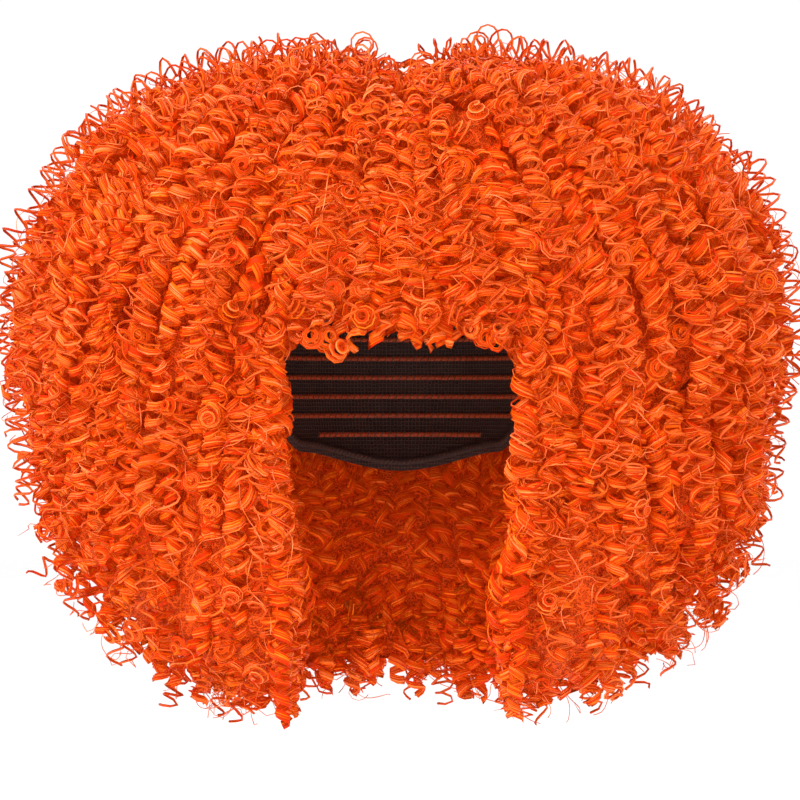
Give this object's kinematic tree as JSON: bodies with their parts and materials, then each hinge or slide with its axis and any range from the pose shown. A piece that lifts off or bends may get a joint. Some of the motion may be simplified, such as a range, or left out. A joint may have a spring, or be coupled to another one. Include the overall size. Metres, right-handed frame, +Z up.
{
  "type": "afro curly wig with fringe",
  "caption": "Full orange afro wig of tight corkscrew curls with a short fringe, its hair set on a dark stretch cap that is open below for the head and in front for the face.",
  "frame": {"origin": "inside top of the cap, where the crown of the wearer's head touches it", "axes": "+Z up, the face looks along -Y, +X towards the wearer's left"},
  "size_m": [0.4363, 0.3436, 0.382],
  "materials": {
    "curly_hair": "glossy synthetic hair fibre in tight corkscrew ringlets, saturated orange with redder depths",
    "cap_net": "dark brown stretch net with sewn rows of weft and a folded hem"
  },
  "bodies": {
    "root": {"cap": "cap_net", "fringe": "curly_hair", "left_hair": "curly_hair", "right_hair": "curly_hair", "back_hair": "curly_hair"}
  },
  "joints": []
}
